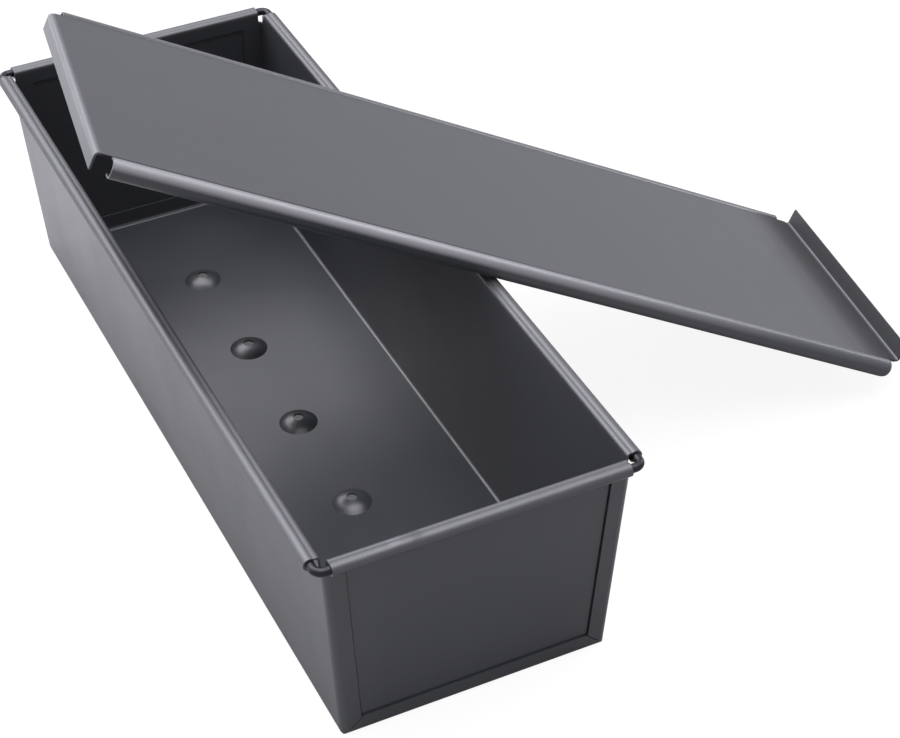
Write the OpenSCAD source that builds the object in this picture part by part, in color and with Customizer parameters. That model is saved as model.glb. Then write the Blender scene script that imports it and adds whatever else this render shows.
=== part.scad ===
// Sheet-metal loaf pan with a wired rim, lock-seamed ends and a sliding lid.
// The pan stands on z = 0 with the origin under the middle of its base.
// X runs across the pan, Y along it, and the front end faces -Y.
// The lid is taken off and leans on the right-hand rim, with its grip end on the table.

/* [Pan] */
// Width inside the pan at the rim
rim_w = 102; // [80:1:160]
// Length inside the pan at the rim
rim_l = 298; // [200:1:420]
// Width inside the pan at the base
base_w = 92; // [70:1:150]
// Length inside the pan at the base
base_l = 289; // [190:1:410]
// Height of the rim's inner edge above the table
pan_h = 80; // [60:1:120]
// Thickness of the sheet steel
sheet = 0.7; // [0.5:0.1:0.8]
// Inside radius of the folds along the foot
foot_r = 0.8; // [0.6:0.1:3]
// Outside radius of the folds up the four corners
corner_r = 2.6; // [2.2:0.1:4]

/* [Wired rim] */
// Diameter of the wire in the rim
wire_d = 3; // [2:0.1:3.2]
// Reach of the rim beyond the inside of the wall
rim_reach = 5.4; // [5.2:0.1:7]
// Radius of the bend where the wall turns into the rim
rim_lip_r = 1.2; // [1:0.1:1.4]
// Height of the rolled bead above the flat of the rim
rim_crown = 0.3; // [0.1:0.05:0.5]
// Distance from each corner at which the rims stop
rim_setback = 1.3; // [0.8:0.1:3]
// Shift of the right-hand rim towards the front
rim_shift = 1.8; // [0:0.1:2.2]
// Height of the open corner under the rims
corner_relief = 5; // [5:0.1:9]
// Distance of the wire's butt joint from the middle of the front
splice_x = 20; // [0:1:35]
// Gap between the two ends of the wire
splice_gap = 0.4; // [0.1:0.1:1]

/* [Lock seams] */
// Width of the folded seam strips on the end faces
seam_w = 6.3; // [5:0.1:9]
// Width of the mitre cuts between the strips
mitre_gap = 0.3; // [0.2:0.1:0.6]
// Gap between the strips and the pressed-out field of the end panel
field_gap = 0.4; // [0.2:0.1:1]

/* [Vents] */
// Number of raised vents along the base
vent_count = 5; // [1:1:7]
// Diameter of each vent hole
vent_d = 3.8; // [2:0.1:5]
// Diameter of the foot of each domed vent
boss_d = 14; // [12:0.5:18]
// Height of each dome above the base
boss_h = 2.6; // [1:0.1:4]

/* [Lid] */
// Length of the lid over its two end flanges
lid_l = 312; // [215:1:430]
// Side play between the rim and the lid's channel
channel_play = 0.5; // [0.3:0.1:1.5]
// Height play between the rim and the lid's channel
channel_lift = 0.4; // [0.3:0.1:1.5]
// Width of the lip under the rim
lip_w = 3.6; // [2:0.1:4]
// Outside radius of the fold along the top of each channel
channel_top_r = 3; // [1.5:0.1:3.4]
// Outside radius of the fold along the bottom of each channel
channel_foot_r = 2.4; // [1:0.1:2.6]
// Height of the rounded fold above the flat of the lid
lid_crown = 0.4; // [0.1:0.05:0.6]
// Length of the notch between a channel and an end flange
notch_l = 5.5; // [3:0.5:9]
// Radius of the channels' lower corner at the grip end
lead_r = 4; // [2:0.5:5.5]
// Width of the two end flanges
flange_w = 104; // [70:1:106]
// Height of the flange that is turned down as a stop
stop_h = 6.5; // [5:0.1:12]
// Height of the flange that is turned up as a grip
grip_h = 6.3; // [4:0.1:15]
// Outside radius of the folds at the end flanges
flange_r = 1.5; // [1:0.1:2]

/* [Lid at rest] */
// Slope of the lid as it leans on the rim
lid_tilt = 26.8; // [22:0.1:32]
// Turn of the lid within its own plane
lid_turn = 10.9; // [5:0.1:20]
// Place of the lid's middle along the pan
lid_y = 3; // [-40:1:40]
// Gap between the lid and the rim it leans on
rest_gap = 0.2; // [0.1:0.1:0.5]

/* [Hidden] */
$fn = 96;
// Gap between sheets that lie against each other, and round the wire
seat = 0.03;
wire_play = 0.05;
// How far a corner's round face crosses the flat beside it, so that the two meet in an edge
blend = 0.01;
// Overrun of the cuts, and the size of a block that covers the whole pan
over = 1;
block = rim_l + rim_w;
// Angles between which the rim's roll is open towards the wall
roll_open = [140, 215];

// The wall runs straight from the top of the floor to the start of the rim's bend
wall_top = pan_h - rim_lip_r;
wall_rise = wall_top - sheet;
lean_w = (rim_w - base_w) / 2 / wall_rise;
lean_l = (rim_l - base_l) / 2 / wall_rise;
strip_top = pan_h - corner_relief;
// The three layers of a lock seam, counted outwards from the inside of the end panel
layer_1 = sheet;
layer_2 = 2 * sheet;
layer_3 = 3 * sheet;

// The roll of the rim round its wire
roll_hole_r = wire_d / 2 + wire_play;
roll_r = roll_hole_r + sheet;
roll_u = rim_reach - roll_r;
roll_z = rim_crown - roll_r;
wire_x = rim_w / 2 + roll_u;
wire_y = rim_l / 2 + roll_u;
wire_z = pan_h + roll_z;
wire_corner_r = roll_u + rim_setback - rim_shift;
side_rim_half = rim_l / 2 - rim_setback;
end_rim_half = rim_w / 2 - rim_setback;

// Radius of the sphere of which a vent's dome is the cap
dome_r = (pow(boss_d / 2, 2) + pow(boss_h, 2)) / (2 * boss_h);

// The lid's channel wraps round the rim's roll with its play
channel_out = rim_w / 2 + rim_reach + channel_play + sheet;
channel_h = 2 * sheet + 2 * roll_r + channel_lift;
channel_half = lid_l / 2 - notch_l;
fold_y = channel_out - channel_top_r;
fold_z = lid_crown - channel_top_r;
fold_hole_r = channel_top_r - sheet;
plate_half = fold_y - sqrt(pow(fold_hole_r + seat, 2) - pow(fold_z + sheet, 2));
notch_half = (plate_half + flange_w / 2) / 2;

// Straight down, seen from the lid's own frame
down_x = sin(lid_tilt) * cos(lid_turn);
down_y = sin(lid_tilt) * sin(lid_turn);
down_z = -cos(lid_tilt);
// Depth of the rounded channel corner that stands on the table, below the middle of the lid
lead_depth = down_x * (channel_half - lead_r) + down_y * channel_out
    + down_z * (lead_r - channel_h) + lead_r * norm([down_x, down_z]);
// Distance of the lid's top from the roll's axis, square to the lid
lean_reach = roll_r + rest_gap + channel_h;
lid_z = lead_depth;
lid_x = wire_x + (lean_reach + cos(lid_tilt) * (wire_z - lid_z)) / sin(lid_tilt);

function half_w(z) = base_w / 2 + lean_w * (z - sheet);
function half_l(z) = base_l / 2 + lean_l * (z - sheet);
function round_way(r, a) = [r * cos(a), r * sin(a)];

// Draws in the X-Z plane and extends along Y
module along_y(length) rotate([90, 0, 0]) linear_extrude(length, center = true) children();

// Draws in the Y-Z plane and extends along X
module along_x(length) rotate([90, 0, 90]) linear_extrude(length, center = true) children();

module both_sides() {
    children();
    mirror([1, 0, 0]) children();
}

module both_ends() {
    children();
    mirror([0, 1, 0]) children();
}

// A quarter or less of a sheet's round fold, between two angles
module fold(r, from, to) intersection() {
    difference() {
        circle(r);
        circle(r - sheet);
    }
    polygon([[0, 0], round_way(2 * r, from), round_way(2 * r, (from + to) / 2), round_way(2 * r, to)]);
}

// Outline across walls that lean out from a rounded foot, and run straight up past their top.
// out moves the walls outwards, and drop moves the floor down.
module trough(foot_half, lean, out, drop, r) {
    turn = atan(lean);
    reach = r * tan((90 - turn) / 2);
    foot = foot_half + out - lean * drop;
    head = foot_half + out + lean * wall_rise;
    floor_z = sheet - drop;
    top = wall_top + over;
    for (side = [-1, 1]) {
        polygon([
            [0, floor_z], [side * (foot - reach), floor_z], [side * (foot - reach), floor_z + r],
            [side * (foot + reach * sin(turn)), floor_z + reach * cos(turn)],
            [side * head, wall_top], [side * head, top], [0, top]
        ]);
        translate([side * (foot - reach), floor_z + r]) circle(r);
    }
}

// What stands outside a rounded corner fold that leans both ways
module corner_waste(out_w, out_l, r) {
    pitch = atan(lean_l / norm([1, lean_w]));
    spread = acos(lean_w * lean_l / (norm([1, lean_w]) * norm([1, lean_l])));
    translate([base_w / 2 + out_w - r * norm([1, lean_w]), base_l / 2 + out_l - r * norm([1, lean_l]), sheet])
        rotate([-pitch, atan(lean_w), 0])
            translate([0, 0, -pan_h]) linear_extrude(3 * pan_h) difference() {
                polygon([[0, 0], [3 * r, 0], [3 * r, 3 * r], round_way(3 * r, spread)]);
                circle(r + blend);
            }
}

// The whole tapered form inside one layer of sheet
module tub(out_w, out_l, drop, fold_r, edge_r) difference() {
    intersection() {
        along_y(block) trough(base_w / 2, lean_w, out_w, drop, fold_r);
        along_x(block) trough(base_l / 2, lean_l, out_l, drop, fold_r);
    }
    both_ends() both_sides() corner_waste(out_w, out_l, edge_r);
}

// Outline of an end, set in from the walls and up from the floor
module end_outline(inset, rise) polygon([
    [inset - half_w(rise), rise], [half_w(rise) - inset, rise], [rim_w / 2 - inset, wall_top],
    [rim_w / 2 - inset, wall_top + over], [inset - rim_w / 2, wall_top + over], [inset - rim_w / 2, wall_top]
]);

// One layer of an end, between two distances from the inside of the end panel
module end_layer(from, to) polygon([
    [half_l(0) + from, 0], [half_l(0) + to, 0], [rim_l / 2 + to, wall_top], [rim_l / 2 + from, wall_top]
]);

// Section of the wired rim, from the top of the wall out and round the wire
module rim_section() {
    under = roll_r - rim_crown - sheet;
    shelf_end = roll_u - sqrt(pow(roll_hole_r + seat, 2) - pow(under, 2));
    translate([rim_lip_r, -rim_lip_r]) fold(rim_lip_r, 90, 180);
    translate([rim_lip_r, -sheet]) square([shelf_end - rim_lip_r, sheet]);
    translate([roll_u, roll_z]) difference() {
        circle(roll_r);
        circle(roll_hole_r);
        polygon([[0, 0], round_way(2 * roll_r, roll_open[0]), round_way(2 * roll_r, roll_open[1])]);
    }
}

module side_rim() along_y(2 * side_rim_half) translate([rim_w / 2, pan_h]) rim_section();

module end_rim() along_x(2 * end_rim_half) translate([rim_l / 2, pan_h]) rim_section();

// Outline of the field that is pressed out of the end panel, between the strips
module field_outline(inset) intersection() {
    end_outline(inset, inset);
    translate([-block / 2, 0]) square([block, strip_top + seam_w - inset]);
}

// The folded edge of a seam strip, turned in against the end panel
module strip_edge() intersection() {
    along_x(block) end_layer(layer_1 + seat, layer_3 - sheet / 2);
    along_y(block) difference() {
        end_outline(seam_w - sheet, seam_w - sheet);
        end_outline(seam_w, seam_w);
    }
}

// The cuts between the foot strip and a side strip, at both ends
module mitre_cuts() {
    start = seam_w + over;
    stop = foot_r + layer_2;
    slant = norm([1, 1]);
    translate([half_w(0), 0, 0]) along_y(2 * block) translate([-start, start]) rotate(-45)
        translate([0, -mitre_gap / 2]) square([(start - stop) * slant, mitre_gap]);
}

// A domed vent is pressed up from the floor, and open at its top
module vent_form(lift) intersection() {
    translate([0, 0, lift + boss_h - dome_r]) sphere(dome_r);
    translate([-boss_d, -boss_d, lift - sheet / 2]) cube([2 * boss_d, 2 * boss_d, boss_h + over]);
}

module at_vents() {
    pitch = base_l / (vent_count + 1);
    for (i = [1:vent_count]) translate([0, i * pitch - base_l / 2, 0]) children();
}

// Base, both long sides, their wired rims and the seam strips, folded from one sheet
module body_shell() color("#4e5054") difference() {
    union() {
        difference() {
            tub(sheet, layer_3, sheet, foot_r + sheet, corner_r);
            tub(0, layer_2, 0, foot_r, corner_r - sheet);
            translate([-block / 2, -block / 2, wall_top]) cube([block, block, pan_h]);
        }
        both_ends() strip_edge();
        mirror([1, 0, 0]) side_rim();
        translate([0, -rim_shift, 0]) side_rim();
        at_vents() vent_form(sheet);
    }
    along_y(2 * block) end_outline(seam_w, seam_w);
    both_ends() translate([-block / 2, side_rim_half, strip_top]) cube([block, block, pan_h]);
    both_sides() mitre_cuts();
    at_vents() {
        vent_form(0);
        translate([0, 0, -over]) cylinder(h = boss_h + sheet + 2 * over, d = vent_d);
    }
}

// End panel at the +Y end, with its rolled top edge and the border locked in the seam
module end_panel() {
    end_rim();
    intersection() {
        tub(-seat, layer_2 - seat, -seat, foot_r, corner_r - sheet);
        difference() {
            along_x(block) end_layer(0, layer_2);
            intersection() {
                along_x(block) end_layer(layer_1, layer_3);
                difference() {
                    union() {
                        along_y(2 * block) end_outline(seam_w - sheet - seat, seam_w - sheet - seat);
                        translate([-block / 2, 0, strip_top]) cube([block, block, pan_h]);
                    }
                    along_y(2 * block) field_outline(seam_w + field_gap);
                }
            }
            intersection() {
                along_x(block) end_layer(-over, layer_1);
                along_y(2 * block) field_outline(seam_w + field_gap + sheet);
            }
            both_sides() translate([end_rim_half, 0, strip_top]) cube([block, block, pan_h]);
        }
    }
}

module front_panel() color("#46474a") mirror([0, 1, 0]) end_panel();

module rear_panel() color("#46474a") end_panel();

// One closed turn of wire in the rims, butted under the front rim
module rim_wire() color("#8b8d90") translate([0, 0, wire_z]) {
    straight_x = wire_x - wire_corner_r;
    straight_y = wire_y - wire_corner_r;
    both_sides() translate([wire_x, straight_y, 0]) rotate([90, 0, 0]) cylinder(h = 2 * straight_y, d = wire_d);
    both_ends() both_sides() translate([straight_x, straight_y, 0])
        rotate_extrude(angle = 90) translate([wire_corner_r, 0]) circle(d = wire_d);
    translate([-straight_x, wire_y, 0]) rotate([0, 90, 0]) cylinder(h = 2 * straight_x, d = wire_d);
    translate([-straight_x, -wire_y, 0]) rotate([0, 90, 0])
        cylinder(h = straight_x - splice_x - splice_gap / 2, d = wire_d);
    translate([splice_gap / 2 - splice_x, -wire_y, 0]) rotate([0, 90, 0])
        cylinder(h = straight_x + splice_x - splice_gap / 2, d = wire_d);
}

// Section of one channel of the lid, with the lid's top at z = 0
module channel_section() {
    crown_turn = acos((channel_top_r - lid_crown) / channel_top_r);
    translate([fold_y, fold_z]) {
        fold(channel_top_r, 0, 90);
        fold(channel_top_r, 90, 90 + crown_turn);
    }
    translate([channel_out - sheet, channel_foot_r - channel_h])
        square([sheet, fold_z - channel_foot_r + channel_h]);
    translate([channel_out - channel_foot_r, channel_foot_r - channel_h]) fold(channel_foot_r, 270, 360);
    translate([channel_out - sheet - lip_w, -channel_h])
        square([lip_w + sheet - channel_foot_r, sheet]);
}

// The round lower corner of a channel at the grip end
module lead_waste() translate([channel_half - lead_r, 0, lead_r - channel_h])
    rotate([90, 0, 0]) linear_extrude(block, center = true) difference() {
        translate([0, -2 * lead_r]) square([2 * lead_r, 2 * lead_r]);
        circle(lead_r);
    }

// Section of the plate and its end flanges, in the plane of the lid's length and height
module flange_section() {
    bend_x = lid_l / 2 - flange_r;
    translate([-bend_x, -sheet]) square([2 * bend_x, sheet]);
    translate([-bend_x, -flange_r]) fold(flange_r, 90, 180);
    translate([-lid_l / 2, -stop_h]) square([sheet, stop_h - flange_r]);
    translate([bend_x, flange_r - sheet]) fold(flange_r, 270, 360);
    translate([lid_l / 2 - sheet, flange_r - sheet]) square([sheet, grip_h - flange_r + sheet]);
}

// The lid in its own frame: length along X, top at z = 0, stop at -X and grip at +X
module lid_sheet() {
    translate([-channel_half, -plate_half, -sheet]) cube([2 * channel_half, 2 * plate_half, sheet]);
    both_sides() both_ends() translate([channel_half - over, 0, -sheet]) linear_extrude(sheet) difference() {
        square([over + notch_l - flange_r, notch_half]);
        translate([over + notch_l - flange_r, notch_half]) circle(notch_half - flange_w / 2);
    }
    both_ends() difference() {
        rotate([90, 0, 90]) linear_extrude(2 * channel_half, center = true) channel_section();
        lead_waste();
    }
    rotate([90, 0, 0]) linear_extrude(flange_w, center = true) flange_section();
}

module lid() color("#6f7175") translate([lid_x, lid_y, lid_z])
    rotate([0, lid_tilt, 0]) rotate([0, 0, -lid_turn]) lid_sheet();

body_shell();
front_panel();
rear_panel();
rim_wire();
lid();
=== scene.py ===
"""Looks for the sheet-metal loaf pan: coatings, wire, lid and a pale studio, in the CAD frame."""

import math

import bpy
from bpy.props import FloatProperty, FloatVectorProperty, PointerProperty, StringProperty
from mathutils import Matrix, Vector


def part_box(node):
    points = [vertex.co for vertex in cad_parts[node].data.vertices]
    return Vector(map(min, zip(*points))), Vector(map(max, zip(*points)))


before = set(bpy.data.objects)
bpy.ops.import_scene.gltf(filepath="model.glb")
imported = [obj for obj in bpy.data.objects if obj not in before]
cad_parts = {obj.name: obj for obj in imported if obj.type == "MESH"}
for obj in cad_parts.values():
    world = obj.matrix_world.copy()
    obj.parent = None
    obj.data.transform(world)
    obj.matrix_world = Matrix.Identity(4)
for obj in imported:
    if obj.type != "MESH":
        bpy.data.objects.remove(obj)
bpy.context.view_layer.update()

bl_info = {
    "name": "Loaf Pan Looks",
    "version": (1, 0, 0),
    "blender": (4, 5, 0),
    "location": "3D View > Sidebar > Loaf Pan",
    "description": "Coated sheet, rim wire, lid and studio for a lidded loaf pan",
    "category": "Object",
}

# Width in pixels of the picture that the camera's focal length belongs to
PICTURE_WIDTH = 900
# Distance from the camera, in metres, from which it sees things
CAMERA_CLIP = 0.01
# Refraction of the baked silicone coating, a little over that of clear silicone for its pigment
COATING_IOR = 1.6
# Noise at which the sprayed coating is a thick and a thin patch
PATCH_RANGE = (0.3, 0.7)
# Roughness that the thick and the thin patches have more than the rest
PATCH_ROUGHNESS = (-0.03, 0.04)
# Share of its half width inside which each mask is full: the creases beside the lid's channels, the
# line in the grip's fold, the line in the folds beside the base, and the bulge in the front rim
CREASE_CORE = 0.4
FOLD_CORE = 0.5
PALE_CORE = 0.6
BULGE_CORE = 0.25
# Number of the floor's middle face, in a mesh of three by three faces
MIDDLE_FACE = 4


def linear(hex_colour):
    """Turns an sRGB hex colour such as #2f3032 into linear red, green, blue and alpha."""
    shares = [int(hex_colour[i : i + 2], 16) / 255 for i in (1, 3, 5)]
    return [s / 12.92 if s <= 0.04045 else ((s + 0.055) / 1.055) ** 2.4 for s in shares] + [1.0]


def add_node(tree, kind, links=(), **settings):
    """Adds a node and sets its properties and inputs. Each link gives the name or number of an
    input, and a socket, a node that stands for its first output, or a plain value."""
    node = tree.nodes.new(kind)
    for name, value in settings.items():
        if hasattr(node, name):
            setattr(node, name, value)
        else:
            node.inputs[name.replace("_", " ")].default_value = value
    for target, source in links:
        if isinstance(source, bpy.types.Node):
            source = source.outputs[0]
        if isinstance(source, bpy.types.NodeSocket):
            tree.links.new(source, node.inputs[target])
        else:
            node.inputs[target].default_value = source
    return node


def new_material(name):
    material = bpy.data.materials.new(name)
    material.use_nodes = True
    material.node_tree.nodes.clear()
    return material, material.node_tree


class LoafPanCoatingSettings(bpy.types.PropertyGroup):
    """The baked non-stick coating and the steel under it."""

    colour: StringProperty(
        name="Coating colour", description="sRGB hex colour of the coating",
        default="#2f3033",
    )
    # Painted highlight: lighter, partly metal colours over the rolled rims and the lid's folds
    highlight_colour: StringProperty(
        name="Thin coating colour",
        description="sRGB hex colour where the coating is burnished over the rolled rims",
        default="#565658",
    )
    lid_highlight_colour: StringProperty(
        name="Lid's thin coating colour",
        description="sRGB hex colour where the coating is burnished over the lid's folds",
        default="#868688",
    )
    highlight_metal: FloatProperty(
        name="Thin coating's metal",
        description="Share of bare metal where the coating is burnished over folds",
        default=0.7, min=0.0, max=1.0,
    )
    worn_roughness: FloatProperty(
        name="Thin coating's roughness",
        description="Roughness that the coating over the folds has more than the rest",
        default=0.12, min=0.0, max=1.0,
    )
    # Painted highlight: the lighter line along the folds beside the base
    fold_highlight_colour: StringProperty(
        name="Pale fold colour",
        description="sRGB hex colour of the rubbed line in the folds beside the base",
        default="#77787a",
    )
    # Painted shade: the dark colour in the creases beside the lid's channels and by the grip
    painted_shade_colour: StringProperty(
        name="Crease colour", description="sRGB hex colour of the dull creases and film on the lid",
        default="#141416",
    )
    ripple: FloatProperty(
        name="Ripple", description="Size of the hand-rolled folds' ripple",
        default=0.01, unit="LENGTH",
    )
    ripple_height: FloatProperty(
        name="Ripple height", description="Height of the hand-rolled folds' ripple",
        default=0.0002, unit="LENGTH",
    )
    roughness: FloatProperty(
        name="Roughness", description="Roughness of the baked coating",
        default=0.36, min=0.0, max=1.0,
    )
    patch: FloatProperty(
        name="Patch", description="Size of the sprayed coating's thicker and thinner patches",
        default=0.045, unit="LENGTH",
    )
    patch_height: FloatProperty(
        name="Patch height", description="Height of the coating's patches",
        default=0.0006, unit="LENGTH",
    )
    patch_gain: FloatProperty(
        name="Patch gain", description="Brightness of the thinnest patches next to the thickest",
        default=1.25,
    )
    patch_relief: FloatProperty(
        name="Patch relief", description="Share of the patches' height that shows",
        default=0.25, min=0.0, max=1.0,
    )
    grain: FloatProperty(
        name="Grain", description="Size of the sprayed coating's orange peel",
        default=0.0006, unit="LENGTH",
    )
    grain_height: FloatProperty(
        name="Grain height", description="Height of the coating's orange peel",
        default=0.00008, unit="LENGTH",
    )
    grain_relief: FloatProperty(
        name="Grain relief", description="Share of the orange peel's height that shows",
        default=0.18, min=0.0, max=1.0,
    )


class LoafPanWireSettings(bpy.types.PropertyGroup):
    """The steel wire in the rim."""

    colour: StringProperty(
        name="Wire colour", description="sRGB hex colour of the oven-dulled steel",
        default="#343437",
    )
    roughness: FloatVectorProperty(
        name="Wire roughness", description="Least and greatest roughness of the wire",
        default=(0.32, 0.5), size=2,
    )
    mottle: FloatProperty(
        name="Mottle", description="Size of the wire's duller and brighter spots",
        default=0.0015, unit="LENGTH",
    )


class LoafPanFoldSettings(bpy.types.PropertyGroup):
    """The painted highlights, painted shade and rougher coating on the lid's folds and the rims,
    and the bulge where the rim wire's ends meet.
    """

    lid_place: FloatVectorProperty(
        name="Lid place", description="Middle of the leaning lid's top face",
        default=(0.07799, 0.003, 0.07581), subtype="TRANSLATION",
    )
    lid_tilt: FloatProperty(
        name="Lid tilt", description="Slope of the leaning lid",
        default=math.radians(26.8), subtype="ANGLE",
    )
    lid_turn: FloatProperty(
        name="Lid turn", description="Turn of the lid in its own plane",
        default=math.radians(10.9), subtype="ANGLE",
    )
    crease: FloatProperty(
        name="Crease",
        description="Distance of the crease beside each channel from the lid's middle line",
        default=0.0531, unit="LENGTH",
    )
    crease_width: FloatProperty(
        name="Crease width", description="Width of the crease beside each channel",
        default=0.0012, unit="LENGTH",
    )
    # Painted highlight and shade on the lid fade along it and are weaker on the far channel
    painted_ends: FloatVectorProperty(
        name="Worn ends",
        description="Distances along the lid between which the channels' burnish fades",
        default=(-0.06, 0.11), size=2, unit="LENGTH",
    )
    painted_least: FloatProperty(
        name="Least burnish", description="Share of the burnish on the channels' ends by the grip",
        default=0.1, min=0.0, max=1.0,
    )
    far_share: FloatProperty(
        name="Far channel's burnish", description="Share of the burnish on the far channel",
        default=0.2, min=0.0, max=1.0,
    )
    far_fade: FloatProperty(
        name="Far fade",
        description="Distance from the lid's middle line at which the far share is reached",
        default=0.01, unit="LENGTH",
    )
    # Painted shade on the lid by the grip
    shade_ends: FloatVectorProperty(
        name="Film ends",
        description="Distances along the lid at which the film by the grip starts and is full",
        default=(0.128, 0.150), size=2, unit="LENGTH",
    )
    shade_share: FloatProperty(
        name="Film share", description="Strength of the dull film by the grip",
        default=1.0, min=0.0, max=1.0,
    )
    # Painted highlight over the stop's fold
    stop_fold: FloatProperty(
        name="Stop fold",
        description="Distance along the lid at which the burnish over the stop's fold starts",
        default=0.1538, unit="LENGTH",
    )
    stop_share: FloatProperty(
        name="Stop share", description="Share of the burnish over the stop's fold",
        default=0.5, min=0.0, max=1.0,
    )
    grip_fold: FloatProperty(
        name="Grip fold",
        description="Distance along the lid of the bright line in the grip's fold",
        default=0.1547, unit="LENGTH",
    )
    grip_fold_width: FloatProperty(
        name="Grip fold width", description="Half width of the bright line in the grip's fold",
        default=0.0008, unit="LENGTH",
    )
    side_depths: FloatVectorProperty(
        name="Side depths",
        description="Depths at which the burnish of the lid's folds ends and is full",
        default=(0.0026, 0.0013), size=2, unit="LENGTH",
    )
    rim_heights: FloatVectorProperty(
        name="Rim heights",
        description="Heights at which the rolled rims start to shine and shine fully",
        default=(0.0775, 0.0795), size=2, unit="LENGTH",
    )
    # Painted highlight: the lighter line in the folds beside the base
    base_fold: FloatVectorProperty(
        name="Base fold",
        description="Place of the lines in the folds beside the base: across, along and up",
        default=(0.0457, 0.1441, 0.0012), subtype="TRANSLATION",
    )
    base_fold_reach: FloatProperty(
        name="Base fold reach",
        description="Half width of the rubbed line in the folds beside the base",
        default=0.0008, unit="LENGTH",
    )
    bulge_place: FloatVectorProperty(
        name="Bulge place", description="Middle of the bulge in the front rim",
        default=(-0.0255, -0.1522, 0.08), subtype="TRANSLATION",
    )
    bulge_reach: FloatProperty(
        name="Bulge reach", description="Half length of the bulge",
        default=0.006, unit="LENGTH",
    )
    bulge_height: FloatProperty(
        name="Bulge height", description="Height of the bulge",
        default=0.0004, unit="LENGTH",
    )


class LoafPanStageSettings(bpy.types.PropertyGroup):
    """The camera and the studio."""

    azimuth: FloatProperty(
        name="Azimuth", description="Turn of the camera about the pan",
        default=math.radians(-25.09), subtype="ANGLE",
    )
    elevation: FloatProperty(
        name="Elevation", description="Height of the camera above the table",
        default=math.radians(38.85), subtype="ANGLE",
    )
    roll: FloatProperty(
        name="Roll", description="Roll of the camera about its view",
        default=math.radians(-0.87), subtype="ANGLE",
    )
    position: FloatVectorProperty(
        name="Position", description="Place of the camera",
        default=(-0.23043, -0.62241, 0.55699), subtype="TRANSLATION",
    )
    focal_pixels: FloatProperty(
        name="Focal length", description="Focal length in pixels of a 900 pixel wide picture",
        default=2382.2,
    )
    studio_colour: StringProperty(
        name="Studio colour", description="sRGB hex colour of the studio's light",
        default="#f8f8ff",
    )
    world_level: FloatProperty(
        name="Studio level", description="Brightness of the dim studio all round",
        default=0.66,
    )
    overhead_level: FloatProperty(
        name="Overhead level", description="Brightness of the softbox overhead",
        default=6.0,
    )
    overhead_way: FloatVectorProperty(
        name="Overhead way",
        description="Azimuth and elevation of the softbox overhead, in degrees",
        default=(-30.0, 84.0), size=2,
    )
    overhead_spread: FloatVectorProperty(
        name="Overhead spread",
        description="Angles at which the overhead softbox starts to fade and ends, in degrees",
        default=(16.0, 32.0), size=2,
    )
    rear_level: FloatProperty(
        name="Rear level", description="Brightness of the large softbox behind the pan",
        default=6.2,
    )
    rear_way: FloatVectorProperty(
        name="Rear way",
        description="Azimuth and elevation of the softbox behind the pan, in degrees",
        default=(113.0, 49.0), size=2,
    )
    rear_spread: FloatVectorProperty(
        name="Rear spread",
        description="Angles at which the rear softbox starts to fade and ends, in degrees",
        default=(18.0, 36.0), size=2,
    )
    side_level: FloatProperty(
        name="Side level", description="Brightness of the small softbox on the right",
        default=12.0,
    )
    side_way: FloatVectorProperty(
        name="Side way",
        description="Azimuth and elevation of the softbox on the right, in degrees",
        default=(17.0, 24.0), size=2,
    )
    side_spread: FloatVectorProperty(
        name="Side spread",
        description="Angles at which the right-hand softbox starts to fade and ends, in degrees",
        default=(6.0, 12.0), size=2,
    )
    left_level: FloatProperty(
        name="Left level", description="Brightness of the white card on the left",
        default=4.0,
    )
    left_way: FloatVectorProperty(
        name="Left way", description="Azimuth and elevation of the white card, in degrees",
        default=(152.0, 6.0), size=2,
    )
    left_spread: FloatVectorProperty(
        name="Left spread",
        description="Angles at which the white card starts to fade and ends, in degrees",
        default=(9.0, 18.0), size=2,
    )
    # Painted light and shade on the floor that the pan mirrors: darker in front, paler behind
    floor_shade_colour: StringProperty(
        name="Floor colour",
        description="sRGB hex colour of the floor in front of the pan as the pan sees it",
        default="#909090",
    )
    floor_lit_colour: StringProperty(
        name="Far floor colour",
        description="sRGB hex colour of the floor beside the pan's left wall as the pan sees it",
        default="#dcdcdc",
    )
    paper_colour: StringProperty(
        name="Paper colour", description="sRGB hex colour of the paper that holds the pan's shadow",
        default="#fafafa",
    )
    paper_roughness: FloatProperty(
        name="Paper roughness", description="Roughness of the floor's paper",
        default=0.9, min=0.0, max=1.0,
    )
    # Painted light on the floor: where it turns paler, and a painted grey strip behind the pan
    pale_along: FloatVectorProperty(
        name="Pale along", description="Distances along the pan between which the floor turns pale",
        default=(-0.2, 0.25), size=2, unit="LENGTH",
    )
    pale_across: FloatVectorProperty(
        name="Pale across",
        description="Distances across the pan between which the floor turns pale",
        default=(0.1, -0.05), size=2, unit="LENGTH",
    )
    strip_place: FloatProperty(
        name="Strip place",
        description="Distance of the floor's grey strip behind the pan's middle",
        default=0.3, unit="LENGTH",
    )
    strip_reach: FloatProperty(
        name="Strip reach", description="Half width of the floor's grey strip",
        default=0.17, unit="LENGTH",
    )
    strip_share: FloatProperty(
        name="Strip share",
        description="Share of the far floor colour in the middle of the grey strip",
        default=0.1, min=0.0, max=1.0,
    )
    floor_reach: FloatProperty(
        name="Floor reach", description="Distance of the floor's edges from the pan's middle",
        default=4.0, unit="LENGTH",
    )
    # Painted shade: the dim floor under the base, as the camera sees it through the vents
    under_shade_level: FloatProperty(
        name="Under level", description="Brightness of the floor seen through the base's vents",
        default=0.13,
    )
    floor_gap: FloatProperty(
        name="Floor gap", description="Gap between the paper and the pan's underside",
        default=0.0001, unit="LENGTH",
    )
    shade_inset: FloatProperty(
        name="Shade inset",
        description="Distance from the rim's edge to the dark patch of floor under the base",
        default=0.0115, unit="LENGTH",
    )
    shadow_share: FloatProperty(
        name="Shadow share", description="Share of the floor's own shading that the camera sees",
        default=0.1, min=0.0, max=1.0,
    )


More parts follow.
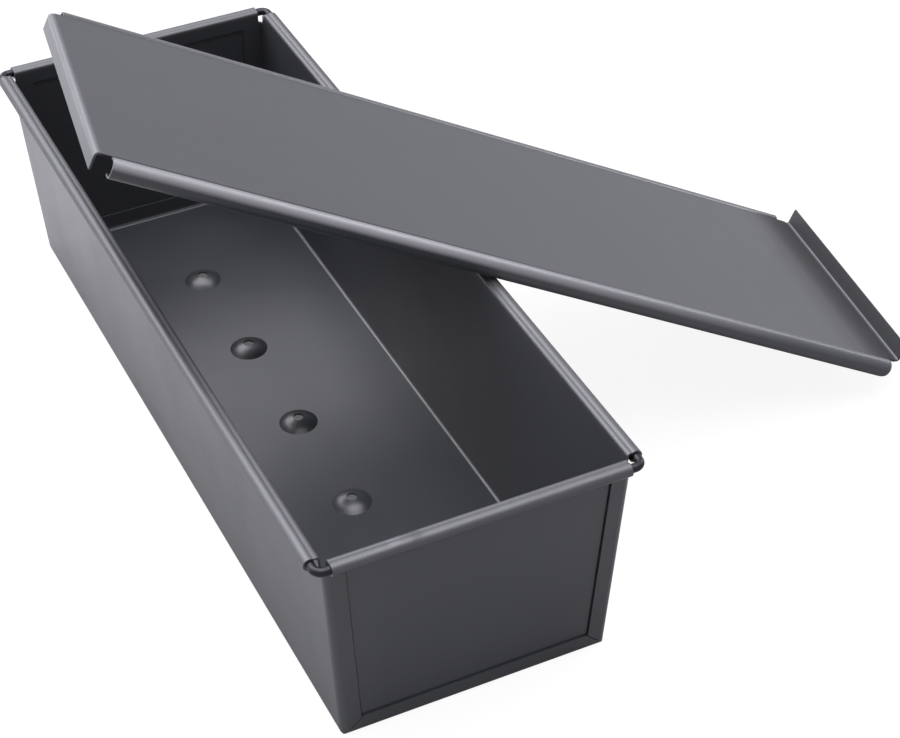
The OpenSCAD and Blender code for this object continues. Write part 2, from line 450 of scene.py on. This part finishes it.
def lid_marks(tree, place, folds):
    """Where the lid's coating is rubbed rougher (over its channels), has a painted highlight
    (there too, most of all at the near channel's stop end, and over the stop's fold) and has
    painted shade and more roughness (in the creases beside the channels and by the grip)."""
    turn = Matrix.Rotation(folds.lid_tilt, 3, "Y") @ Matrix.Rotation(-folds.lid_turn, 3, "Z")
    own = add_node(
        tree, "ShaderNodeMapping", [("Vector", place)], vector_type="TEXTURE",
        Location=folds.lid_place, Rotation=turn.to_euler("XYZ"),
    )
    along, across, up = add_node(tree, "ShaderNodeSeparateXYZ", [("Vector", own)]).outputs
    aside = add_node(tree, "ShaderNodeMath", [(0, across)], operation="ABSOLUTE")
    outside = add_node(
        tree, "ShaderNodeMapRange", [("Value", aside)],
        From_Min=folds.crease, From_Max=folds.crease + folds.crease_width,
    )
    above = add_node(
        tree, "ShaderNodeMapRange", [("Value", up)],
        From_Min=-folds.side_depths[0], From_Max=-folds.side_depths[1],
    )
    rubbed = add_node(tree, "ShaderNodeMath", [(0, outside), (1, above)], operation="MULTIPLY")

    # Painted highlight and shade fade: full on the near channel at the stop end, less elsewhere
    side = add_node(
        tree, "ShaderNodeMapRange", [("Value", across)],
        From_Min=folds.far_fade, From_Max=-folds.far_fade, To_Min=folds.far_share,
    )
    end = add_node(
        tree, "ShaderNodeMapRange", [("Value", along)],
        From_Min=folds.painted_ends[0], From_Max=folds.painted_ends[1], To_Min=1.0,
        To_Max=folds.painted_least,
    )
    painted = add_node(tree, "ShaderNodeMath", [(0, end), (1, side)], operation="MULTIPLY")
    channels = add_node(tree, "ShaderNodeMath", [(0, rubbed), (1, painted)], operation="MULTIPLY")
    # Painted highlight over the stop's fold
    stop = add_node(
        tree, "ShaderNodeMapRange", [("Value", along)],
        From_Min=-folds.stop_fold, From_Max=-folds.stop_fold - folds.crease_width,
        To_Max=folds.stop_share,
    )
    stop = add_node(tree, "ShaderNodeMath", [(0, stop), (1, above)], operation="MULTIPLY")
    highlighted = add_node(tree, "ShaderNodeMath", [(0, channels), (1, stop)], operation="MAXIMUM")

    # Painted shade: a dark line along each crease beside the channels
    half_crease = folds.crease_width / 2
    from_crease = add_node(
        tree, "ShaderNodeMath", [(0, aside), (1, folds.crease - half_crease)], operation="SUBTRACT",
    )
    from_crease = add_node(tree, "ShaderNodeMath", [(0, from_crease)], operation="ABSOLUTE")
    crease = add_node(
        tree, "ShaderNodeMapRange", [("Value", from_crease)],
        From_Min=half_crease, From_Max=half_crease * CREASE_CORE,
    )
    crease = add_node(tree, "ShaderNodeMath", [(0, crease), (1, painted)], operation="MULTIPLY")
    # Painted shade on the plate and the grip's flange by the grip
    shade = add_node(
        tree, "ShaderNodeMapRange", [("Value", along)], interpolation_type="SMOOTHSTEP",
        From_Min=folds.shade_ends[0], From_Max=folds.shade_ends[1], To_Max=folds.shade_share,
    )
    # The painted shade spares the channels and the bright line in the grip's fold
    from_fold = add_node(
        tree, "ShaderNodeMath", [(0, along), (1, folds.grip_fold)], operation="SUBTRACT",
    )
    from_fold = add_node(tree, "ShaderNodeMath", [(0, from_fold)], operation="ABSOLUTE")
    fold = add_node(
        tree, "ShaderNodeMapRange", [("Value", from_fold)],
        From_Min=folds.grip_fold_width, From_Max=folds.grip_fold_width * FOLD_CORE,
    )
    spared = add_node(tree, "ShaderNodeMath", [(0, outside), (1, fold)], operation="MAXIMUM")
    shadeable = add_node(tree, "ShaderNodeMath", [(0, 1.0), (1, spared)], operation="SUBTRACT")
    shade = add_node(tree, "ShaderNodeMath", [(0, shade), (1, shadeable)], operation="MULTIPLY")
    darkened = add_node(tree, "ShaderNodeMath", [(0, crease), (1, shade)], operation="MAXIMUM")
    return {"rubbed": rubbed, "highlighted": highlighted, "darkened": darkened}


def pan_marks(tree, place, folds):
    """Where the pan's coating is rubbed rougher and has a painted highlight (on top of the rolled
    rims), where a painted highlight makes a lighter line (in the folds beside the base), and the
    height of the front rim's bulge where the wire's ends meet."""
    away = add_node(
        tree, "ShaderNodeVectorMath", [(0, place), (1, folds.bulge_place)], operation="DISTANCE",
    )
    bulge = add_node(
        tree, "ShaderNodeMapRange", [("Value", away.outputs["Value"])],
        interpolation_type="SMOOTHSTEP",
        From_Min=folds.bulge_reach * BULGE_CORE, From_Max=folds.bulge_reach,
        To_Min=folds.bulge_height, To_Max=0.0,
    )
    height = add_node(tree, "ShaderNodeSeparateXYZ", [("Vector", place)]).outputs["Z"]
    # Painted highlight on top of the rolled rims, which are rubbed rougher there too
    top = add_node(
        tree, "ShaderNodeMapRange", [("Value", height)],
        From_Min=folds.rim_heights[0], From_Max=folds.rim_heights[1],
    )
    # Painted highlight: a lighter line along each fold beside the base
    # Each fold's inside lies round a line beside the base, and the mask fades out from that line
    apart = add_node(tree, "ShaderNodeVectorMath", [(0, place)], operation="ABSOLUTE")
    past = add_node(
        tree, "ShaderNodeVectorMath", [(0, apart), (1, folds.base_fold)], operation="SUBTRACT",
    )
    across, along, up = add_node(tree, "ShaderNodeSeparateXYZ", [("Vector", past)]).outputs
    out = add_node(tree, "ShaderNodeMath", [(0, across), (1, along)], operation="MAXIMUM")
    off = add_node(tree, "ShaderNodeCombineXYZ", [("X", out), ("Y", up)])
    off = add_node(tree, "ShaderNodeVectorMath", [(0, off)], operation="LENGTH")
    pale = add_node(
        tree, "ShaderNodeMapRange", [("Value", off.outputs["Value"])],
        From_Min=folds.base_fold_reach, From_Max=folds.base_fold_reach * PALE_CORE,
    )
    return {"rubbed": top, "highlighted": top, "pale": pale, "bulge": bulge}


def coating_material(name, settings, highlight_colour, find_marks, folds):
    """Silicone non-stick coating, sprayed and baked on steel sheet: a dark, satin coat with a fine
    orange peel that mirrors pale surroundings softly at a grazing angle. Lighter, partly metal
    colours on it are painted highlights, and a dark colour, where a mask puts one, is painted
    shade."""
    material, tree = new_material(name)
    place = add_node(tree, "ShaderNodeTexCoord").outputs["Object"]
    peel = add_node(
        tree, "ShaderNodeTexNoise", [("Vector", place)], Scale=1 / settings.grain, Detail=3.0,
        Roughness=0.5,
    )
    patches = add_node(
        tree, "ShaderNodeTexNoise", [("Vector", place)], Scale=1 / settings.patch, Detail=4.0,
        Roughness=0.55,
    )
    ripple = add_node(
        tree, "ShaderNodeTexNoise", [("Vector", place)], Scale=1 / settings.ripple, Detail=2.0,
    )
    marks = find_marks(tree, place, folds)

    thick = linear(settings.colour)
    thin = [share * settings.patch_gain for share in thick[:3]] + [1.0]
    colour = add_node(
        tree, "ShaderNodeMix", [("Factor", patches), (6, thick), (7, thin)], data_type="RGBA",
    )
    # Painted highlights (lighter colours) and painted shade (the dark colour) over the coating's
    # own
    for mask, painted in (
        ("highlighted", highlight_colour),
        ("darkened", settings.painted_shade_colour),
        ("pale", settings.fold_highlight_colour),
    ):
        if mask in marks:
            colour = add_node(
                tree, "ShaderNodeMix",
                [("Factor", marks[mask]), (6, colour.outputs[2]), (7, linear(painted))],
                data_type="RGBA",
            )
    # Painted highlight: more metal where the highlight mask is full
    metal = add_node(
        tree, "ShaderNodeMapRange", [("Value", marks["highlighted"])], To_Max=settings.highlight_metal,
    )
    rough = add_node(
        tree, "ShaderNodeMapRange", [("Value", patches)],
        From_Min=PATCH_RANGE[0], From_Max=PATCH_RANGE[1],
        To_Min=settings.roughness + PATCH_ROUGHNESS[0],
        To_Max=settings.roughness + PATCH_ROUGHNESS[1],
    )
    rough = add_node(
        tree, "ShaderNodeMath", [(0, marks["rubbed"]), (1, settings.worn_roughness), (2, rough)],
        operation="MULTIPLY_ADD",
    )
    if "darkened" in marks:
        rough = add_node(
            tree, "ShaderNodeMath", [(0, rough), (1, marks["darkened"])], operation="MAXIMUM",
        )

    height = add_node(
        tree, "ShaderNodeMath", [(0, ripple), (1, marks["highlighted"])], operation="MULTIPLY",
    )
    height = add_node(
        tree, "ShaderNodeMath", [(0, height), (1, settings.ripple_height)], operation="MULTIPLY",
    )
    if "bulge" in marks:
        height = add_node(
            tree, "ShaderNodeMath", [(0, marks["bulge"]), (1, height)], operation="ADD",
        )
    skin = add_node(tree, "ShaderNodeBump", [("Height", height)], Strength=1.0, Distance=1.0)
    for pattern, relief, depth in (
        (patches, settings.patch_relief, settings.patch_height),
        (peel, settings.grain_relief, settings.grain_height),
    ):
        skin = add_node(
            tree, "ShaderNodeBump", [("Height", pattern), ("Normal", skin)],
            Strength=relief, Distance=depth,
        )
    shader = add_node(
        tree, "ShaderNodeBsdfPrincipled",
        [
            ("Base Color", colour.outputs[2]), ("Metallic", metal), ("Roughness", rough),
            ("Normal", skin),
        ],
        IOR=COATING_IOR,
    )
    add_node(tree, "ShaderNodeOutputMaterial", [("Surface", shader)])
    return material


def wire_material(name, settings):
    """Drawn mild steel wire, dulled unevenly by the oven: a dark grey metal, duller in spots."""
    material, tree = new_material(name)
    place = add_node(tree, "ShaderNodeTexCoord").outputs["Object"]
    spots = add_node(
        tree, "ShaderNodeTexNoise", [("Vector", place)], Scale=1 / settings.mottle, Detail=3.0,
    )
    rough = add_node(
        tree, "ShaderNodeMapRange", [("Value", spots)],
        To_Min=settings.roughness[0], To_Max=settings.roughness[1],
    )
    shader = add_node(
        tree, "ShaderNodeBsdfPrincipled", [("Roughness", rough)],
        Base_Color=linear(settings.colour), Metallic=1.0,
    )
    add_node(tree, "ShaderNodeOutputMaterial", [("Surface", shader)])
    return material


def floor_material(name, settings, level):
    """White seamless paper: matt, and bleached to a level of white for the camera, with a trace of
    the pan's shadow left. It is clear from below, so that the pan's underside can be looked at."""
    material, tree = new_material(name)
    place = add_node(tree, "ShaderNodeTexCoord").outputs["Object"]
    across, along, _ = add_node(tree, "ShaderNodeSeparateXYZ", [("Vector", place)]).outputs
    # Painted light and shade on the paper that the pan mirrors: paler behind the pan and left of it
    back = add_node(
        tree, "ShaderNodeMapRange", [("Value", along)],
        From_Min=settings.pale_along[0], From_Max=settings.pale_along[1],
    )
    left = add_node(
        tree, "ShaderNodeMapRange", [("Value", across)],
        From_Min=settings.pale_across[0], From_Max=settings.pale_across[1],
    )
    # Painted shade: a grey strip behind the pan, which its left wall mirrors at the far end
    from_strip = add_node(
        tree, "ShaderNodeMath", [(0, along), (1, settings.strip_place)], operation="SUBTRACT",
    )
    from_strip = add_node(tree, "ShaderNodeMath", [(0, from_strip)], operation="ABSOLUTE")
    strip = add_node(
        tree, "ShaderNodeMapRange", [("Value", from_strip)],
        From_Min=settings.strip_reach, From_Max=0.0, To_Min=1.0, To_Max=settings.strip_share,
    )
    pale = add_node(tree, "ShaderNodeMath", [(0, back), (1, left)], operation="MULTIPLY")
    pale = add_node(tree, "ShaderNodeMath", [(0, pale), (1, strip)], operation="MULTIPLY")
    painted_floor_light = add_node(
        tree, "ShaderNodeMix",
        [
            ("Factor", pale), (6, linear(settings.floor_shade_colour)),
            (7, linear(settings.floor_lit_colour)),
        ],
        data_type="RGBA",
    )
    mirrored = add_node(
        tree, "ShaderNodeBsdfPrincipled", [("Base Color", painted_floor_light.outputs[2])],
        Roughness=settings.paper_roughness,
    )
    paper = add_node(
        tree, "ShaderNodeBsdfPrincipled",
        Base_Color=linear(settings.paper_colour), Roughness=settings.paper_roughness,
    )
    white = add_node(tree, "ShaderNodeEmission", Color=linear("#ffffff"), Strength=level)
    washed = add_node(
        tree, "ShaderNodeMixShader", [(0, settings.shadow_share), (1, white), (2, paper)],
    )
    rays = add_node(tree, "ShaderNodeLightPath")
    seen = add_node(
        tree, "ShaderNodeMixShader",
        [(0, rays.outputs["Is Camera Ray"]), (1, mirrored), (2, washed)],
    )
    side = add_node(tree, "ShaderNodeNewGeometry")
    clear = add_node(tree, "ShaderNodeBsdfTransparent")
    both = add_node(
        tree, "ShaderNodeMixShader", [(0, side.outputs["Backfacing"]), (1, seen), (2, clear)],
    )
    add_node(tree, "ShaderNodeOutputMaterial", [("Surface", both)])
    return material


def dress_node(node, material):
    """Puts a material on every slot of a CAD node."""
    for slot in node.material_slots:
        slot.material = material
    if not node.material_slots:
        node.data.materials.append(material)


class LOAFPAN_OT_pan(bpy.types.Operator):
    """Coat the pan's shell and its two end panels"""

    bl_idname = "loafpan.pan"
    bl_label = "Pan"

    def execute(self, context):
        coating = context.scene.loafpan_coating
        coat = coating_material(
            "Baked non-stick coating on pan", coating, coating.highlight_colour, pan_marks,
            context.scene.loafpan_folds,
        )
        for name in ("body_shell", "front_panel", "rear_panel"):
            dress_node(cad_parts[name], coat)
        return {"FINISHED"}


class LOAFPAN_OT_wire(bpy.types.Operator):
    """Finish the wire in the pan's rim"""

    bl_idname = "loafpan.wire"
    bl_label = "Rim wire"

    def execute(self, context):
        steel = wire_material("Drawn steel wire", context.scene.loafpan_wire)
        dress_node(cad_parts["rim_wire"], steel)
        return {"FINISHED"}


class LOAFPAN_OT_lid(bpy.types.Operator):
    """Coat the loose lid"""

    bl_idname = "loafpan.lid"
    bl_label = "Lid"

    def execute(self, context):
        coating = context.scene.loafpan_coating
        coat = coating_material(
            "Baked non-stick coating on lid", coating, coating.lid_highlight_colour, lid_marks,
            context.scene.loafpan_folds,
        )
        dress_node(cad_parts["lid"], coat)
        return {"FINISHED"}


class LOAFPAN_OT_stage(bpy.types.Operator):
    """Set up the floor, the lit world and the camera"""

    bl_idname = "loafpan.stage"
    bl_label = "Studio"

    def execute(self, context):
        scene = context.scene
        settings = scene.loafpan_stage
        scene.view_settings.view_transform = "Standard"
        self.add_floor(settings)
        self.add_world(scene, settings)
        self.add_camera(scene, settings)
        return {"FINISHED"}

    def add_floor(self, settings):
        # Three strips each way: the middle face under the base is painted a dim shade, not bleached
        (x0, y0, _), (x1, y1, _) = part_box("body_shell")
        reach, inset = settings.floor_reach, settings.shade_inset
        xs = (-reach, x0 + inset, x1 - inset, reach)
        ys = (-reach, y0 + inset, y1 - inset, reach)
        corners = [(x, y, -settings.floor_gap) for y in ys for x in xs]
        row = len(xs)
        faces = [
            (first, first + 1, first + row + 1, first + row)
            for first in (row * j + i for j in range(row - 1) for i in range(row - 1))
        ]
        mesh = bpy.data.meshes.new("floor")
        mesh.from_pydata(corners, [], faces)
        floor = bpy.data.objects.new("floor", mesh)
        bpy.context.collection.objects.link(floor)
        mesh.materials.append(floor_material("White seamless paper", settings, 1.0))
        mesh.materials.append(floor_material("Paper under the pan", settings, settings.under_shade_level))
        mesh.polygons[MIDDLE_FACE].material_index = 1

    def add_world(self, scene, settings):
        world = bpy.data.worlds.new("Pale studio")
        world.use_nodes = True
        tree = world.node_tree
        tree.nodes.clear()
        # Round lights in a dim room: softboxes overhead, behind the pan and on its right, and a
        # white card on its left. Where two overlap, the brighter one counts.
        way = add_node(tree, "ShaderNodeTexCoord").outputs["Generated"]
        level = settings.world_level
        for lamp in ("overhead", "rear", "side", "left"):
            turn, rise = (math.radians(angle) for angle in getattr(settings, lamp + "_way"))
            inner, outer = (math.radians(angle) for angle in getattr(settings, lamp + "_spread"))
            flat = math.cos(rise)
            middle = (flat * math.cos(turn), flat * math.sin(turn), math.sin(rise))
            near = add_node(
                tree, "ShaderNodeVectorMath", [(0, way), (1, middle)], operation="DOT_PRODUCT",
            )
            light = add_node(
                tree, "ShaderNodeMapRange", [("Value", near.outputs["Value"])],
                interpolation_type="SMOOTHSTEP", From_Min=math.cos(outer), From_Max=math.cos(inner),
                To_Min=settings.world_level, To_Max=getattr(settings, lamp + "_level"),
            )
            level = add_node(tree, "ShaderNodeMath", [(0, level), (1, light)], operation="MAXIMUM")
        studio = add_node(
            tree, "ShaderNodeBackground", [("Strength", level)],
            Color=linear(settings.studio_colour),
        )
        white = add_node(tree, "ShaderNodeBackground", Color=linear("#ffffff"), Strength=1.0)
        rays = add_node(tree, "ShaderNodeLightPath")
        seen = add_node(
            tree, "ShaderNodeMixShader",
            [(0, rays.outputs["Is Camera Ray"]), (1, studio), (2, white)],
        )
        add_node(tree, "ShaderNodeOutputWorld", [("Surface", seen)])
        scene.world = world

    def add_camera(self, scene, settings):
        turn, rise, roll = settings.azimuth, settings.elevation, settings.roll
        flat = math.cos(rise)
        ahead = Vector((-math.sin(turn) * flat, math.cos(turn) * flat, -math.sin(rise)))
        level = ahead.cross(Vector((0, 0, 1))).normalized()
        upright = level.cross(ahead)
        right = level * math.cos(roll) + upright * math.sin(roll)
        up = upright * math.cos(roll) - level * math.sin(roll)
        data = bpy.data.cameras.new("camera")
        data.sensor_fit = "HORIZONTAL"
        data.lens = data.sensor_width * settings.focal_pixels / PICTURE_WIDTH
        data.clip_start = CAMERA_CLIP
        camera = bpy.data.objects.new("camera", data)
        facing = Matrix((right, up, -ahead)).transposed().to_4x4()
        camera.matrix_world = Matrix.Translation(Vector(settings.position)) @ facing
        bpy.context.collection.objects.link(camera)
        scene.camera = camera


class LOAFPAN_PT_panel(bpy.types.Panel):
    """Lists the pan's pieces and its studio"""

    bl_idname = "LOAFPAN_PT_panel"
    bl_label = "Loaf Pan"
    bl_space_type = "VIEW_3D"
    bl_region_type = "UI"
    bl_category = "Loaf Pan"

    def draw(self, context):
        for operator in OPERATORS:
            self.layout.operator(operator.bl_idname)
        for name, settings in SETTINGS.items():
            box = self.layout.box()
            for value in settings.__annotations__:
                box.prop(getattr(context.scene, name), value)


OPERATORS = (LOAFPAN_OT_stage, LOAFPAN_OT_pan, LOAFPAN_OT_wire, LOAFPAN_OT_lid)
SETTINGS = {
    "loafpan_coating": LoafPanCoatingSettings,
    "loafpan_wire": LoafPanWireSettings,
    "loafpan_folds": LoafPanFoldSettings,
    "loafpan_stage": LoafPanStageSettings,
}
CLASSES = (*SETTINGS.values(), *OPERATORS, LOAFPAN_PT_panel)


def register():
    for cls in CLASSES:
        bpy.utils.register_class(cls)
    for name, settings in SETTINGS.items():
        setattr(bpy.types.Scene, name, PointerProperty(type=settings))


def unregister():
    for name in SETTINGS:
        delattr(bpy.types.Scene, name)
    for cls in reversed(CLASSES):
        bpy.utils.unregister_class(cls)


def main():
    register()
    bpy.ops.loafpan.stage()
    bpy.ops.loafpan.pan()
    bpy.ops.loafpan.wire()
    bpy.ops.loafpan.lid()


if __name__ == "__main__":
    main()
